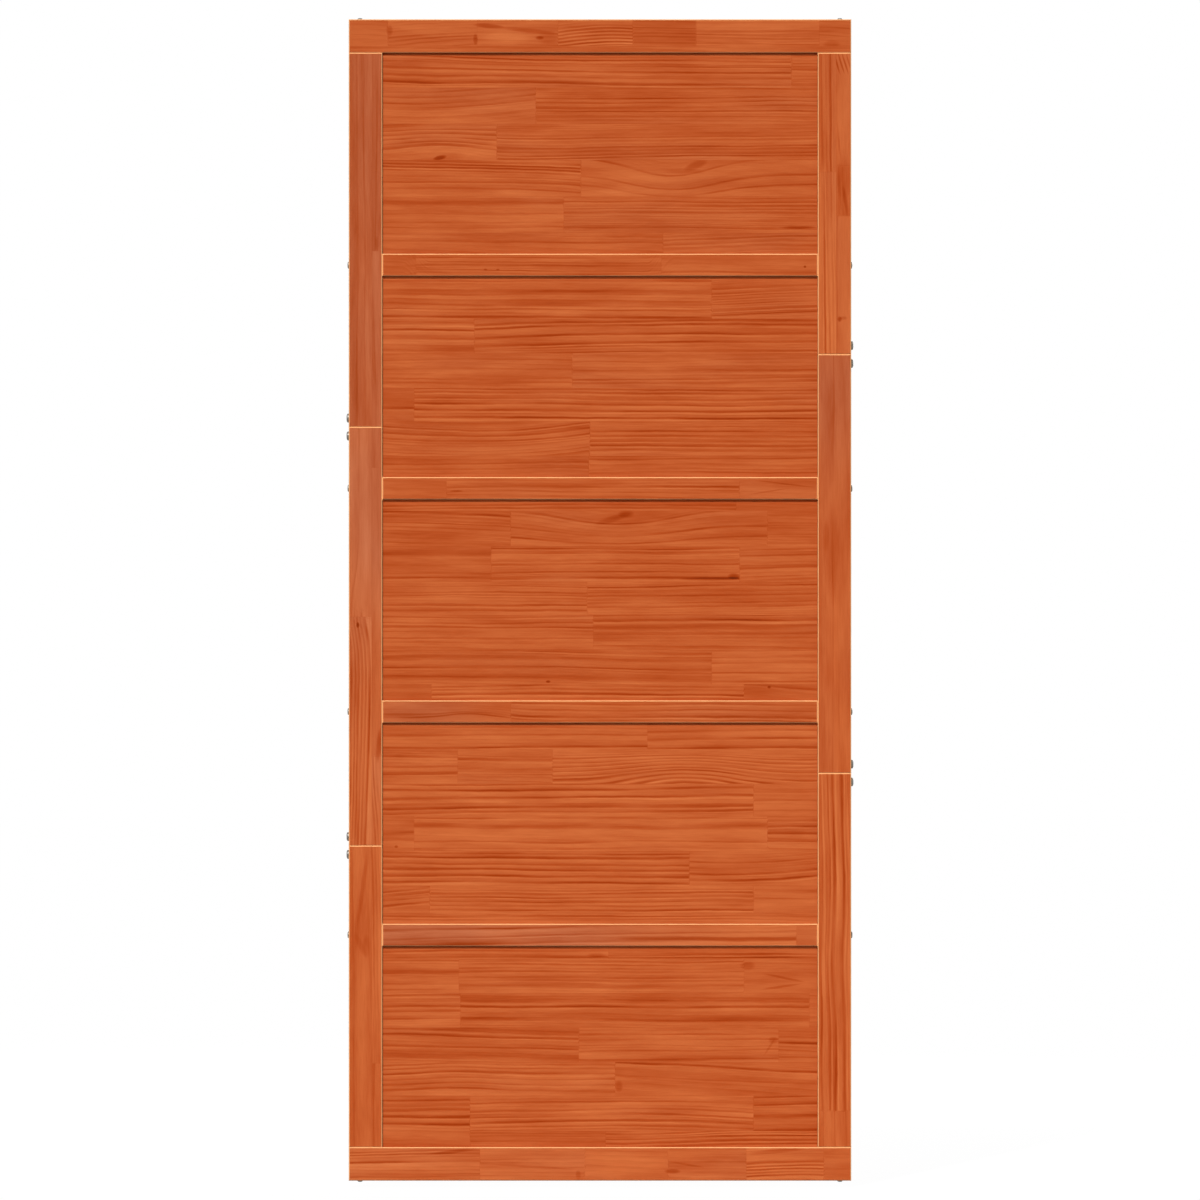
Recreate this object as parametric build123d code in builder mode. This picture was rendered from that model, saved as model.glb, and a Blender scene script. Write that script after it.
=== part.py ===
from build123d import *
import os

# A five-panel barn door leaf of pine, put together from grooved members.
# Millimetres. X runs to the right seen from the front, Y to the back, Z up.
# The origin is the middle of the top rail's front face, where the hangers are bolted.

# Outline of the leaf and its members
door_width = 900.0
frame_thickness = 30.0
stile_width = 60.0
end_rail_height = 60.0
mid_rail_height = 40.0
panel_count = 5
panel_height = 360.0
panel_thickness = 18.0
arris_chamfer = 1.6

# Each stile is made of three lengths, given here from the top of the left one.
# The right stile is the same three pieces turned end for end.
stile_lengths = (670.0, 750.0, 540.0)
stile_piece_names = ("top", "middle", "bottom")

# Groove and tongue, cut in the middle of the thickness
groove_width = 8.0
groove_depth = 10.0
groove_bottom_gap = 1.0
panel_side_gap = 0.5
panel_top_gap = 1.0

# Holes for the bolts beside each stile joint and for the screws into the rails and stiles
bolt_from_joint = 16.0
bolt_hole_radius = 3.5
bolt_pilot_radius = 2.5
screw_hole_radius = 2.75
screw_pilot_radius = 2.0
pilot_depth = 45.0
corner_screw_inset = 20.0

# Worked out from the values above
rail_pitch = panel_height + mid_rail_height
door_height = 2 * end_rail_height + panel_count * rail_pitch - mid_rail_height
opening_width = door_width - 2 * stile_width
opening_edge = opening_width / 2
outer_edge = door_width / 2
mid_depth = frame_thickness / 2
top_edge = end_rail_height / 2
bottom_edge = top_edge - door_height
stile_top = top_edge - end_rail_height
stile_bottom = bottom_edge + end_rail_height
tongue_length = groove_depth - groove_bottom_gap
tongue_span = opening_width + 2 * tongue_length
corner_screw_x = outer_edge - corner_screw_inset

# Members are drawn on their front face, grooves and tongues on the plane half way through.
front_plane = Plane.XZ
panel_front_plane = Plane.XZ.offset(-(frame_thickness - panel_thickness) / 2)
joint_plane = Plane.XZ.offset(-mid_depth)


def rail_centre(number):
    """Height of the middle of a mid rail, counted from 1 at the top."""
    return stile_top - number * rail_pitch + mid_rail_height / 2


def panel_bottom(number):
    """Height of the lower edge of a panel's opening, counted from 1 at the top."""
    return stile_top - (number - 1) * rail_pitch - panel_height


def stile_joints(side):
    """Heights of a stile's two joints, from the top. The side is -1 at the left, 1 at the right."""
    lengths = stile_lengths[::-side]
    upper = stile_top - lengths[0]
    return [upper, upper - lengths[1]]


def bolt_heights(side):
    """Heights of the bolts, one above and one below each joint of a stile."""
    return [joint + step for joint in stile_joints(side) for step in (bolt_from_joint, -bolt_from_joint)]


def within(heights, low, high):
    """The heights that lie between two others."""
    return [height for height in heights if low < height < high]


def sideways(side, x, height):
    """A drilling place on an edge of the door or of a member, facing out to one side."""
    return Plane(origin=(side * x, mid_depth, height), z_dir=(side, 0, 0))


def make_end_rail(outer, inward):
    """A rail across the whole width. Its inner edge is grooved for a panel and the stiles' tongues."""
    inner = outer + inward * end_rail_height
    with BuildPart() as rail:
        with BuildSketch(front_plane):
            with Locations((0, (outer + inner) / 2)):
                Rectangle(door_width, end_rail_height)
        extrude(amount=-frame_thickness)
        chamfer(rail.faces().filter_by(Axis.Y).edges(), length=arris_chamfer)
        with BuildSketch(joint_plane):
            with Locations((0, inner - inward * groove_depth / 2)):
                Rectangle(door_width, groove_depth)
        extrude(amount=groove_width / 2, both=True, mode=Mode.SUBTRACT)
        for side in (-1, 1):
            entry = Plane(origin=(side * corner_screw_x, mid_depth, outer), z_dir=(0, 0, -inward))
            with Locations(entry):
                Hole(radius=screw_hole_radius, depth=end_rail_height)
    return rail


def make_mid_rail(centre):
    """A rail between the stiles, grooved on both edges, with a stub tenon at each end."""
    groove_centre = (mid_rail_height - groove_depth) / 2
    with BuildPart() as rail:
        with BuildSketch(front_plane):
            with Locations((0, centre)):
                Rectangle(opening_width, mid_rail_height)
        extrude(amount=-frame_thickness)
        chamfer(rail.faces().filter_by(Axis.Y).edges(), length=arris_chamfer)
        # The tenons start at full height, and the grooves leave their middle half.
        with BuildSketch(joint_plane):
            with Locations((0, centre)):
                Rectangle(tongue_span, mid_rail_height)
        extrude(amount=groove_width / 2, both=True)
        with BuildSketch(joint_plane):
            with Locations((0, centre - groove_centre), (0, centre + groove_centre)):
                Rectangle(tongue_span, groove_depth)
        extrude(amount=groove_width / 2, both=True, mode=Mode.SUBTRACT)
        for side in (-1, 1):
            with Locations(sideways(side, tongue_span / 2, centre)):
                Hole(radius=screw_pilot_radius, depth=pilot_depth)
    return rail


def make_stile_piece(side, top, bottom, top_joint, bottom_joint):
    """One length of a stile. Its inner edge is grooved, and each end has a tongue or a groove."""
    centre_x = side * (outer_edge + opening_edge) / 2
    rail_centres = [rail_centre(number) for number in range(1, panel_count)]
    with BuildPart() as piece:
        with BuildSketch(front_plane):
            with Locations((centre_x, (top + bottom) / 2)):
                Rectangle(stile_width, top - bottom)
        extrude(amount=-frame_thickness)
        chamfer(piece.faces().filter_by(Axis.Y).edges(), length=arris_chamfer)
        for end, outward, joint in ((top, 1, top_joint), (bottom, -1, bottom_joint)):
            reach = tongue_length if joint == "tongue" else -groove_depth
            with BuildSketch(joint_plane):
                with Locations((centre_x, end + outward * reach / 2)):
                    Rectangle(stile_width, abs(reach))
            joint_mode = Mode.ADD if joint == "tongue" else Mode.SUBTRACT
            extrude(amount=groove_width / 2, both=True, mode=joint_mode)
        # The groove for panels and tenons runs right through, end tongues included.
        with BuildSketch(joint_plane):
            with Locations((side * (opening_edge + groove_depth / 2), (top + bottom) / 2)):
                Rectangle(groove_depth, top - bottom + 2 * tongue_length)
        extrude(amount=groove_width / 2, both=True, mode=Mode.SUBTRACT)
        for height in within(bolt_heights(side), bottom, top):
            with Locations(sideways(side, outer_edge, height)):
                Hole(radius=bolt_hole_radius, depth=stile_width)
        for height in within(rail_centres, bottom, top):
            with Locations(sideways(side, outer_edge, height)):
                Hole(radius=screw_hole_radius, depth=stile_width)
        # The screws through the end rails bite into the tongues at the stile's two ends.
        for end, outward, stile_end in ((top, 1, stile_top), (bottom, -1, stile_bottom)):
            if end == stile_end:
                tongue_end = end + outward * tongue_length
                entry = Plane(origin=(side * corner_screw_x, mid_depth, tongue_end), z_dir=(0, 0, outward))
                with Locations(entry):
                    Hole(radius=screw_pilot_radius, depth=pilot_depth)
    return piece


def make_panel(bottom):
    """A glued board standing on the rail below it, with a tongue on all four edges."""
    board_height = panel_height - panel_top_gap
    with BuildPart() as panel:
        with BuildSketch(panel_front_plane):
            with Locations((0, bottom + board_height / 2)):
                Rectangle(opening_width - 2 * panel_side_gap, board_height)
        extrude(amount=-panel_thickness)
        with BuildSketch(joint_plane):
            with Locations((0, bottom + panel_height / 2)):
                Rectangle(tongue_span, panel_height + 2 * tongue_length)
        extrude(amount=groove_width / 2, both=True)
        # A panel bridges the stile joint beside it, so the bolts of that joint bite into its edge.
        for side in (-1, 1):
            for height in within(bolt_heights(side), bottom, bottom + panel_height):
                with Locations(sideways(side, tongue_span / 2, height)):
                    Hole(radius=bolt_pilot_radius, depth=pilot_depth)
    return panel


def write_piece(piece, name):
    """Label a finished piece and write it under its name."""
    piece.part.label = name
    export_step(piece.part, "parts/" + name + ".step")


os.makedirs("parts", exist_ok=True)

write_piece(make_end_rail(top_edge, -1), "top_rail")
write_piece(make_end_rail(bottom_edge, 1), "bottom_rail")

for number in range(1, panel_count):
    write_piece(make_mid_rail(rail_centre(number)), "mid_rail_" + str(number))

for number in range(1, panel_count + 1):
    write_piece(make_panel(panel_bottom(number)), "panel_" + str(number))

# At each stile joint the piece nearer the stile's shortest length has the tongue.
for stile_name, side in (("left_stile_", -1), ("right_stile_", 1)):
    ends = [stile_top] + stile_joints(side) + [stile_bottom]
    for number, piece_name in enumerate(stile_piece_names):
        top = ends[number]
        bottom = ends[number + 1]
        top_joint = "groove" if side == 1 and top != stile_top else "tongue"
        bottom_joint = "groove" if side == -1 and bottom != stile_bottom else "tongue"
        stile_piece = make_stile_piece(side, top, bottom, top_joint, bottom_joint)
        write_piece(stile_piece, stile_name + piece_name)
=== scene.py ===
import bpy
import bmesh
from math import cos, pi, radians, sin
from mathutils import Matrix, Vector


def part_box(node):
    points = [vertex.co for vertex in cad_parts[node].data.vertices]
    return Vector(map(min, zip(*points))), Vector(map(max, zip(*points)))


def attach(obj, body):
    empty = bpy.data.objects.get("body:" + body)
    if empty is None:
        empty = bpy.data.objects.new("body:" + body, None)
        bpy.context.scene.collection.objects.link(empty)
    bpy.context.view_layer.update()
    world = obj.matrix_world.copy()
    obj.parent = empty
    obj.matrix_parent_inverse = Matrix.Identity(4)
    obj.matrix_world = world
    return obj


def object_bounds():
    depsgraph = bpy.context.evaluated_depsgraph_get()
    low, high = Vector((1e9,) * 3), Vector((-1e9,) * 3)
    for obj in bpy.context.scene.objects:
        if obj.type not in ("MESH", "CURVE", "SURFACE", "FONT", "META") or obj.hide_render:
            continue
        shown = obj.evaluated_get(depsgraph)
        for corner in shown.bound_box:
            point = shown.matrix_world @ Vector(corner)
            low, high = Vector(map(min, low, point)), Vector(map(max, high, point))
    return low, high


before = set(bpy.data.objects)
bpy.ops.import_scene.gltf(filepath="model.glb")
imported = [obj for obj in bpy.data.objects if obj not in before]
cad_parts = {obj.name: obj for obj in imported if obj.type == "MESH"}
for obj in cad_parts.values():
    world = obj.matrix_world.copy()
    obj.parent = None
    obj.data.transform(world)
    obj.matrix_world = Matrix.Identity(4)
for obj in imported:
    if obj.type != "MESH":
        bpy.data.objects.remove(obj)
cad_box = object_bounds()

# Everything is in metres in the frame of the CAD model: X to the right, Y to the back, Z up.
# The wood's patterns are worked out in millimetres.
mm = 0.001

# Places read from the frame
door_low, door_high = cad_box
opening_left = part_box("left_stile_top")[1].x
middle_x = (door_low.x + door_high.x) / 2
middle_y = (door_low.y + door_high.y) / 2
middle_z = (door_low.z + door_high.z) / 2
mid_rails = ["mid_rail_1", "mid_rail_2", "mid_rail_3", "mid_rail_4"]


# Node trees

# Where a Mix node keeps its two values and its result
mix_sockets = {"FLOAT": (2, 3, 0), "VECTOR": (4, 5, 1)}

# What the groups' inputs and results hold, where it isn't a plain number
vectors = ("Place", "Centre", "Spread", "Marks", "Bend", "Shift", "Heart", "Lean", "Look", "Grain", "Normal")
socket_kinds = {"Colour": "NodeSocketColor", **dict.fromkeys(vectors, "NodeSocketVector")}


class Recipe:
    """A node tree in the making, with a short call for each kind of node that the finishes use."""

    def __init__(self, tree):
        self.tree = tree

    def fill(self, socket, value):
        """Give a socket a link or a plain value."""
        if isinstance(value, bpy.types.NodeSocket):
            self.tree.links.new(value, socket)
        else:
            socket.default_value = value

    def add(self, kind, values=(), **settings):
        """A new node with its settings, and with values for its sockets by name or in their order."""
        node = self.tree.nodes.new(kind)
        for name, setting in settings.items():
            setattr(node, name, setting)
        named = values if isinstance(values, dict) else dict(enumerate(values))
        for socket, value in named.items():
            self.fill(node.inputs[socket], value)
        return node

    def math(self, operation, *values):
        """One sum on numbers."""
        return self.add("ShaderNodeMath", values, operation=operation).outputs["Value"]

    def vector(self, operation, *values):
        """One sum on vectors."""
        node = self.add("ShaderNodeVectorMath", values, operation=operation)
        return node.outputs["Value" if operation in ("DOT_PRODUCT", "LENGTH") else "Vector"]

    def mix(self, kind, factor, first, second):
        """First where the factor is 0, second where it is 1."""
        at_first, at_second, at_result = mix_sockets[kind]
        values = {0: factor, at_first: first, at_second: second}
        return self.add("ShaderNodeMix", values, data_type=kind).outputs[at_result]

    def split(self, vector):
        """The three numbers of a vector."""
        return list(self.add("ShaderNodeSeparateXYZ", [vector]).outputs)

    def join(self, *numbers):
        """A vector of three numbers."""
        return self.add("ShaderNodeCombineXYZ", numbers).outputs["Vector"]

    def ease(self, value, start, end, low=0.0, high=1.0):
        """From low to high as the value goes from start to end, with soft ends."""
        values = (value, start, end, low, high)
        return self.add("ShaderNodeMapRange", values, interpolation_type="SMOOTHSTEP").outputs["Result"]

    def noise(self, place, cell, shift, detail=1.0):
        """Smooth noise of about -0.5 to 0.5, with cells of that size along, across and deep."""
        spot = self.vector("ADD", self.vector("DIVIDE", place, cell), shift)
        node = self.add("ShaderNodeTexNoise", {"Vector": spot, "Scale": 1.0, "Detail": detail})
        return self.math("SUBTRACT", node.outputs[0], 0.5)

    def wave(self, value, shift):
        """Smooth noise of about -0.5 to 0.5 along one number."""
        values = {"W": self.math("ADD", value, shift), "Scale": 1.0, "Detail": 0.0}
        node = self.add("ShaderNodeTexNoise", values, noise_dimensions="1D")
        return self.math("SUBTRACT", node.outputs[0], 0.5)

    def chain(self, operation, numbers):
        """The operation on the first two numbers, then on its result and the next one, and so on."""
        result = numbers[0]
        for number in numbers[1:]:
            result = self.math(operation, result, number)
        return result

    def total(self, *numbers):
        """All the numbers added up."""
        return self.chain("ADD", numbers)

    def product(self, *numbers):
        """All the numbers multiplied."""
        return self.chain("MULTIPLY", numbers)

    def ramp(self, value, stops, interpolation="LINEAR"):
        """The colour that goes from stop to stop as the value goes from 0 to 1."""
        node = self.add("ShaderNodeValToRGB", [value])
        node.color_ramp.interpolation = interpolation
        steps = node.color_ramp.elements
        while len(steps) < len(stops):
            steps.new(1.0)
        for step, (position, colour) in zip(steps, stops):
            step.position = position
            step.color = colour
        return node.outputs["Color"]

    def use(self, group, **values):
        """What a node group makes of the values."""
        return self.add("ShaderNodeGroup", values, node_tree=group).outputs


def new_group(name, inputs, outputs):
    """An empty node group, with its recipe, its inputs and the node that its results go to."""
    tree = bpy.data.node_groups.new(name, "ShaderNodeTree")
    for side, titles in (("INPUT", inputs), ("OUTPUT", outputs)):
        for title in titles:
            kind = socket_kinds.get(title, "NodeSocketFloat")
            tree.interface.new_socket(title, in_out=side, socket_type=kind)
    recipe = Recipe(tree)
    given = recipe.add("NodeGroupInput")
    results = recipe.add("NodeGroupOutput")
    return recipe, [given.outputs[title] for title in inputs], results


def new_material(name):
    """A material with nothing but its output."""
    material = bpy.data.materials.new(name)
    material.use_nodes = True
    material.node_tree.nodes.clear()
    recipe = Recipe(material.node_tree)
    return material, recipe, recipe.add("ShaderNodeOutputMaterial")


# Pine

# The stain from the darkest knot to the palest worn edge, by shade
stain = (
    (0.00, (0.060, 0.008, 0.001, 1)),
    (0.18, (0.240, 0.024, 0.001, 1)),
    (0.33, (0.367, 0.041, 0.002, 1)),
    (0.44, (0.468, 0.075, 0.013, 1)),
    (0.50, (0.517, 0.098, 0.022, 1)),
    (0.61, (0.623, 0.149, 0.040, 1)),
    (0.67, (0.678, 0.180, 0.052, 1)),
    (0.85, (0.800, 0.290, 0.120, 1)),
    (1.00, (0.900, 0.460, 0.260, 1)),
)
plain_shade = 0.5
tone_step = 0.032
late_wood_depth = 0.24
glint_depth = 0.08
bold_lift = 0.05
fibre_depth = 0.10
cloud_depth = 0.24
seam_depth = 0.03
end_grain_depth = 0.07
rosy_tint = (0.88, 1.0, 1.47)
rosy_drift = 0.9

# Yearly rings: over how many their width wanders and how far, and how strong the weakest is
wander_rings = 2.2
wander_reach = 1.4
wander_seed = 13.7
weakest_ring = 0.25
ring_variety = 0.9

# Parts of a ring over which it darkens and turns pale, and the pale part that follows
darkening = (0.4, 0.9)
paling = (0.93, 1.0)
glint_part = 0.25

# The noise at which lines are at their weakest and their strongest, and how strong they are there
fading_noise = (-0.22, 0.16)
fading_strength = (0.35, 1.2)

# Chamfers look halfway between the front and an edge. They are painted paler, for worn thin stain and as a
# painted highlight, the lower ones less so, as painted shade.
chamfer_facing = cos(pi / 4)
chamfer_tolerance = 0.2
lower_facing = -0.5
# Share of the pale chamfer colour taken off the lower chamfers, as painted shade
lower_chamfer_painted_shade = 0.45
# Paler worn stain with a painted highlight, mixed onto the chamfers
worn_stain_and_highlight = (0.94, 0.49, 0.21)
wear_and_highlight_noise = (-0.4, 0.3)
wear_and_highlight_range = (0.75, 1.0)
end_grain_facing = 0.9

# Sizes of the pattern in millimetres: along the grain, across it and into the wood
drift_cell = (300, 60, 60)
drift_reach = 12
ripple_cell = (45, 12, 12)
ripple_reach = 2.2
fading_cell = (170, 9, 9)
wobble_cell = (60, 30, 30)
wobble_reach = 3.0
seed_shift = (17.3, 9.1, 5.7)
cloud_cell = (160, 22, 22)
fibre_cell = (28, 1.6, 1.6)
ring_slant = 0.35

# A satin finish with the fibres just showing, their height in millimetres
wood_gloss = 0.06
plain_roughness = 0.52
late_wood_smoothness = 0.10
fibre_roughness = 0.12
fibre_bump = 0.35
fibre_height = 0.15


def draw_knot():
    """A place that the grain goes round, a dark mark or a rosy one."""
    recipe, given, results = new_group(
        "knot",
        ("Place", "Centre", "Spread", "Fall", "Push", "Dark", "Rosy"),
        ("Marks",),
    )
    place, centre, spread, fall, push, dark, rosy = given
    along, across = recipe.split(recipe.vector("SUBTRACT", place, centre))[:2]
    level = recipe.math("SUBTRACT", across, recipe.product(along, fall))
    offset = recipe.vector("DIVIDE", recipe.join(along, level, 0), spread)
    distance = recipe.vector("DOT_PRODUCT", offset, offset)
    hump = recipe.math("EXPONENT", recipe.product(distance, -1))
    core = recipe.ease(distance, 1.0, 0.0)
    marks = recipe.join(recipe.product(hump, push), recipe.product(core, dark), recipe.product(hump, rosy))
    recipe.fill(results.inputs["Marks"], marks)
    return recipe.tree


def draw_flow():
    """How the grain runs in a stave: where a point would lie across it if the grain were straight."""
    recipe, given, results = new_group(
        "flow",
        ("Place", "Seed", "Fall", "Bend", "Push"),
        ("Level", "Shift", "Drift"),
    )
    place, seed, fall, bend, push = given
    along, across = recipe.split(place)[:2]
    middle, half_length, bow = recipe.split(bend)
    shift = recipe.vector("MULTIPLY", recipe.join(seed, seed, seed), seed_shift)
    drift = recipe.noise(place, drift_cell, shift)
    ripple = recipe.noise(place, ripple_cell, shift, detail=2.0)
    from_middle = recipe.math("SUBTRACT", along, middle)
    part = recipe.math("DIVIDE", from_middle, half_length)
    level = recipe.total(
        across,
        recipe.product(from_middle, fall, -1),
        recipe.product(part, part, bow, -1),
        recipe.product(push, -1),
        recipe.product(drift, drift_reach),
        recipe.product(ripple, ripple_reach),
    )
    recipe.fill(results.inputs["Level"], level)
    recipe.fill(results.inputs["Shift"], shift)
    recipe.fill(results.inputs["Drift"], drift)
    return recipe.tree


def draw_pine():
    """Stained pine: rings round the heart of the log, fibres along it, and on the chamfers worn stain
    painted paler with a painted highlight, less on the lower ones as painted shade.
    """
    recipe, given, results = new_group(
        "pine",
        (
            "Place", "Level", "Shift", "Drift", "Heart", "Lean", "Look",
            "Lines", "Dark", "Rosy", "Seam", "Grain",
        ),
        ("Colour", "Roughness", "Normal"),
    )
    place, level, shift, drift, heart, lean, look, lines, dark, rosy, seam, grain = given
    along, _, deep = recipe.split(place)
    heart_across, heart_deep, seed = recipe.split(heart)
    dive = recipe.split(lean)[1]
    tone, bold, spacing = recipe.split(look)

    # Distance from the heart of the log
    from_heart_across = recipe.math("SUBTRACT", level, heart_across)
    from_heart_deep = recipe.math("SUBTRACT", deep, recipe.math("MULTIPLY_ADD", along, dive, heart_deep))
    radius = recipe.vector("LENGTH", recipe.join(0, from_heart_across, from_heart_deep))

    # Yearly rings of uneven width and strength: slow to darken, quick to turn pale
    even_count = recipe.math("DIVIDE", radius, spacing)
    wander = recipe.wave(recipe.math("DIVIDE", even_count, wander_rings), recipe.product(seed, wander_seed))
    count = recipe.math("MULTIPLY_ADD", wander, wander_reach, even_count)
    part = recipe.math("FRACT", count)
    ring = recipe.math("FLOOR", count)
    ring_and_seed = {"Vector": recipe.join(ring, seed, 0)}
    chance = recipe.add("ShaderNodeTexWhiteNoise", ring_and_seed, noise_dimensions="2D")
    ring_strength = recipe.math("MULTIPLY_ADD", chance.outputs["Value"], ring_variety, weakest_ring)
    fading = recipe.ease(recipe.noise(place, fading_cell, shift), *fading_noise, *fading_strength)
    strength = recipe.product(ring_strength, fading)
    late_wood = recipe.product(recipe.ease(part, *darkening), recipe.ease(part, *paling, 1.0, 0.0), strength)
    glint = recipe.product(recipe.ease(part, 0.0, glint_part, 1.0, 0.0), strength)
    lift = recipe.math("MULTIPLY_ADD", glint, glint_depth, bold_lift)
    rings = recipe.math("MULTIPLY_ADD", late_wood, -late_wood_depth, lift)

    # Fibres and clouds of colour
    fibre = recipe.noise(place, fibre_cell, shift, detail=2.0)
    cloud = recipe.noise(place, cloud_cell, shift, detail=2.0)

    # Chamfers, painted paler for worn thin stain and as a painted highlight, less on the lower ones as
    # painted shade, and end grain, which drinks more of it
    normal = recipe.add("ShaderNodeNewGeometry").outputs["True Normal"]
    facing_front = recipe.math("ABSOLUTE", recipe.split(normal)[1])
    chamfer = recipe.math("COMPARE", facing_front, chamfer_facing, chamfer_tolerance)
    # Chamfers facing down keep less of the pale colour: painted shade
    facing_down = recipe.math("LESS_THAN", recipe.split(normal)[2], lower_facing)
    painted_shade_factor = recipe.math("MULTIPLY_ADD", facing_down, -lower_chamfer_painted_shade, 1.0)
    # How much paler worn stain and painted highlight each chamfer gets
    wear_and_highlight = recipe.product(chamfer, recipe.ease(fibre, *wear_and_highlight_noise, *wear_and_highlight_range), painted_shade_factor)
    facing_along = recipe.math("ABSOLUTE", recipe.vector("DOT_PRODUCT", normal, grain))
    end_grain = recipe.math("GREATER_THAN", facing_along, end_grain_facing)

    shade = recipe.total(
        plain_shade,
        recipe.product(tone, tone_step),
        recipe.product(rings, bold),
        recipe.product(lines, fading, -1),
        recipe.product(fibre, fibre_depth),
        recipe.product(cloud, cloud_depth),
        recipe.product(dark, -plain_shade),
        recipe.product(seam, -seam_depth),
        recipe.product(end_grain, -end_grain_depth),
    )
    tint = recipe.mix("VECTOR", recipe.math("MULTIPLY_ADD", drift, rosy_drift, rosy), (1, 1, 1), rosy_tint)
    tinted = recipe.vector("MULTIPLY", recipe.ramp(shade, stain), tint)
    # The chamfers take the paler worn stain and painted highlight
    recipe.fill(results.inputs["Colour"], recipe.mix("VECTOR", wear_and_highlight, tinted, worn_stain_and_highlight))

    # A little smoother on the hard late wood
    roughness = recipe.total(
        plain_roughness,
        recipe.product(late_wood, -late_wood_smoothness),
        recipe.product(fibre, fibre_roughness),
    )
    recipe.fill(results.inputs["Roughness"], roughness)
    bump = recipe.add(
        "ShaderNodeBump",
        {"Strength": fibre_bump, "Distance": fibre_height * mm, "Height": fibre},
    )
    recipe.fill(results.inputs["Normal"], bump.outputs["Normal"])
    return recipe.tree


knot_group = draw_knot()
flow_group = draw_flow()
pine_group = draw_pine()

# Cut lists

# How a stave lies in its log: the heart's distance below the stave's middle line and behind its face,
# how far the heart runs deeper on each metre, the ring spacing, and how bold the rings are
cuts = {
    "fine": (110, 25, 10, 4.4, 0.30),
    "lined": (85, 30, 5, 6.5, 0.30),
    "soft": (80, 45, 15, 6.0, 0.25),
    "plain": (60, 60, 20, 6.5, 0.15),
    "calm": (60, 70, 20, 9.0, 0.08),
}
tones = {"dark": -1.3, "dull": -0.6, "mid": 0.0, "light": 0.6, "pale": 1.2}
panel_tone_share = 0.65

# Lines that stand out: how much darker they are, and over how many millimetres they darken
line_looks = {
    "faint": (0.05, 3.0),
    "clear": (0.10, 3.5),
    "bold": (0.17, 4.5),
    "heavy": (0.18, 7.0),
    "wide": (0.10, 10.0),
}
line_tail = 0.7
line_glint = 0.4
line_middle = 0.25
line_lift = 0.7
line_scale = 0.95
line_margin = 30


def cut_stave(end, cut, tone, fall=0, bow=0, blend=2.5, **lines):
    """A stave: its far end, how far its grain goes down on each metre and at both ends, and its lines.

    It blends into the stave before it over that distance on each side of the joint.
    """
    return {"end": end, "cut": cut, "tone": tone, "fall": fall, "bow": bow, "blend": blend, "lines": lines}


def glue_row(edge, *staves, knots=()):
    """Staves end to end, down to a far edge, with the knots on them."""
    return {"edge": edge, "staves": staves, "knots": knots}


def bend_at(along, across, half_length, half_width, push):
    """A place that the lines go round: they are pushed down past it, or up if the push is negative."""
    return {"Centre": (along, across, 0), "Spread": (half_length, half_width, 1), "Push": push}


def mark_at(along, across, half_length, half_width, dark, fall=0):
    """A dark knot or streak, which goes down by its fall on each metre."""
    return {
        "Centre": (along, across, 0),
        "Spread": (half_length, half_width, 1),
        "Fall": fall * mm,
        "Dark": dark,
    }


def bloom_at(along, across, half_length, half_width, rosy):
    """A rosy place."""
    return {"Centre": (along, across, 0), "Spread": (half_length, half_width, 1), "Rosy": rosy}


# Places are in millimetres: along from the left, across from the upper edge of the panel or of the rail.
# A line's place is where it crosses the middle of its stave.
panel_staves = {}
panel_staves["panel_1"] = (
    glue_row(
        62,
        cut_stave(733, "lined", "mid", 15, -1.5, clear=(12, 23, 33, 44), bold=(56,)),
        cut_stave(780, "fine", "mid", clear=(28,), faint=(40, 48, 58)),
    ),
    glue_row(
        127,
        cut_stave(275, "soft", "light", -47, -6.5, faint=(72, 80), clear=(90, 98)),
        cut_stave(780, "fine", "dull", clear=(80, 88, 97, 105), faint=(115,)),
        knots=(mark_at(350, 80, 80, 20, 0.12),),
    ),
    glue_row(
        192,
        cut_stave(205, "soft", "pale", faint=(133,), clear=(141, 150, 159, 168, 176)),
        cut_stave(780, "fine", "mid", -18, faint=(145, 158), clear=(151, 170, 176, 183, 188)),
        knots=(
            bend_at(105, 192, 80, 40, -15),
            mark_at(103, 188, 14, 5, 0.5, -200),
            mark_at(125, 185, 30, 8, 0.1),
        ),
    ),
    glue_row(
        257,
        cut_stave(356, "soft", "mid", 12, clear=(196, 201, 232), bold=(206,), faint=(212, 222, 244)),
        cut_stave(780, "plain", "light", clear=(188, 217, 234)),
        knots=(
            bend_at(520, 225, 105, 60, 32),
            mark_at(540, 212, 48, 6, 0.14),
            mark_at(562, 201, 24, 9, 0.22, -350),
        ),
    ),
    glue_row(
        322,
        cut_stave(325, "plain", "light", wide=(268,), faint=(288, 303, 312)),
        cut_stave(780, "fine", "mid", clear=(267, 275, 288, 315), faint=(260, 281, 302)),
        knots=(mark_at(745, 313, 38, 3.5, 0.35),),
    ),
    glue_row(
        360,
        cut_stave(503, "plain", "mid", 8, faint=(328,), clear=(339,)),
        cut_stave(780, "fine", "mid", -30, clear=(334, 341, 349), faint=(326, 356)),
    ),
)
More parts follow.
